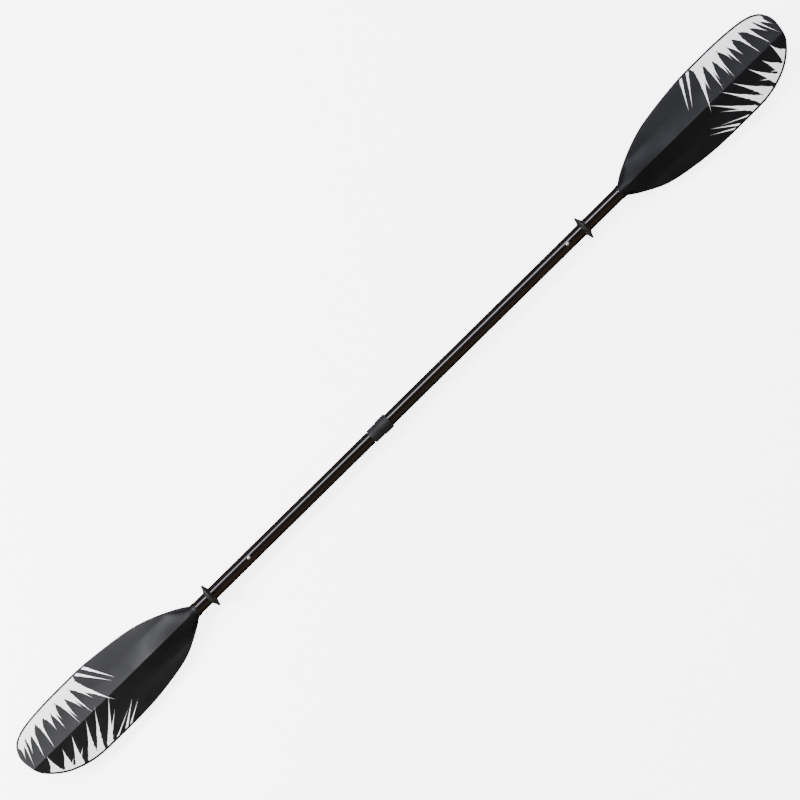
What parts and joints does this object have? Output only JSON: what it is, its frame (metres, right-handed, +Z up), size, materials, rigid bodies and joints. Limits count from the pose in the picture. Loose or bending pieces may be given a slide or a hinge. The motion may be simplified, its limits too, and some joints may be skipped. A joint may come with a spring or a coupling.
{
  "type": "kayak paddle",
  "caption": "Take-apart double-bladed kayak paddle with asymmetric blades, drip rings, snap buttons and a twist-lock collar that sets length and feather angle.",
  "frame": {"origin": "middle of the paddle's box, at the height of the surface that its drip rings rest on", "axes": "+X along the shaft to the blade whose half carries the collar body; +Y towards the blades' long edges; +Z up, the way the blades' faces and the snap buttons look"},
  "size_m": [2.2, 0.1638, 0.057],
  "materials": {
    "blade": "moulded black polypropylene with a fine grain and a white print",
    "shaft": "glass-fibre tube, glossy black",
    "grey_ferrule": "satin grey ground glass-fibre",
    "black_ferrule": "satin black glass-fibre with a white scale",
    "rubber": "matte black",
    "steel": "polished stainless steel",
    "collar": "moulded dark grey nylon",
    "nylon": "natural nylon",
    "foam": "closed-cell foam"
  },
  "bodies": {
    "right_half": {"right_blade": "blade", "right_blade_tube": "shaft", "right_blade_plug": "foam", "right_end_ferrule": "grey_ferrule", "right_button_spring": "steel", "right_centre_tube": "shaft", "right_centre_plug": "foam", "collar_body": "collar"},
    "left_half": {"left_blade": "blade", "left_blade_tube": "shaft", "left_blade_plug": "foam", "left_end_ferrule": "grey_ferrule", "left_button_spring": "steel", "left_centre_tube": "shaft", "left_centre_plug": "foam", "graduated_ferrule": "black_ferrule", "guide_bush": "nylon", "ferrule_o_ring": "rubber"},
    "collet": {"split_collet": "nylon"},
    "seal": {"collar_seal": "rubber"},
    "lock_ring": {"lock_ring": "collar"},
    "right_button": {"right_snap_button": "steel"},
    "left_button": {"left_snap_button": "steel"},
    "right_ring": {"right_drip_ring": "rubber"},
    "left_ring": {"left_drip_ring": "rubber"}
  },
  "joints": [
    {"name": "feather_turn", "type": "hinge", "parent": "right_half", "child": "collet", "pos_m": [-0.1016, -0.00355, 0.0285], "axis": [1, 0, 0], "continuous": true},
    {"name": "length_slide", "type": "slide", "parent": "collet", "child": "left_half", "axis": [-1, 0, 0], "range_m": [0, 0.1]},
    {"name": "seal_slide", "type": "slide", "parent": "right_half", "child": "seal", "axis": [-1, 0, 0], "range_m": [0, 0.00075]},
    {"name": "lock_ring_turn", "type": "hinge", "parent": "seal", "child": "lock_ring", "pos_m": [-0.096, -0.00355, 0.0285], "axis": [-1, 0, 0], "range_deg": [0, 180]},
    {"name": "right_button_press", "type": "slide", "parent": "right_half", "child": "right_button", "axis": [0, 0, -1], "range_m": [0, 0.0045], "stiffness_N_per_m": 1500, "springref_m": -0.002, "deforming": ["right_button_spring"]},
    {"name": "left_button_press", "type": "slide", "parent": "left_half", "child": "left_button", "axis": [0, 0, -1], "range_m": [0, 0.0045], "stiffness_N_per_m": 1500, "springref_m": -0.002, "deforming": ["left_button_spring"]},
    {"name": "right_ring_slide", "type": "slide", "parent": "right_half", "child": "right_ring", "axis": [1, 0, 0], "range_m": [-0.038, 0.095]},
    {"name": "left_ring_slide", "type": "slide", "parent": "left_half", "child": "left_ring", "axis": [1, 0, 0], "range_m": [-0.03, 0.103]}
  ],
  "couplings": [
    {"joint": "seal_slide", "follows": "lock_ring_turn", "m_per_rad": 0.0002385}
  ]
}
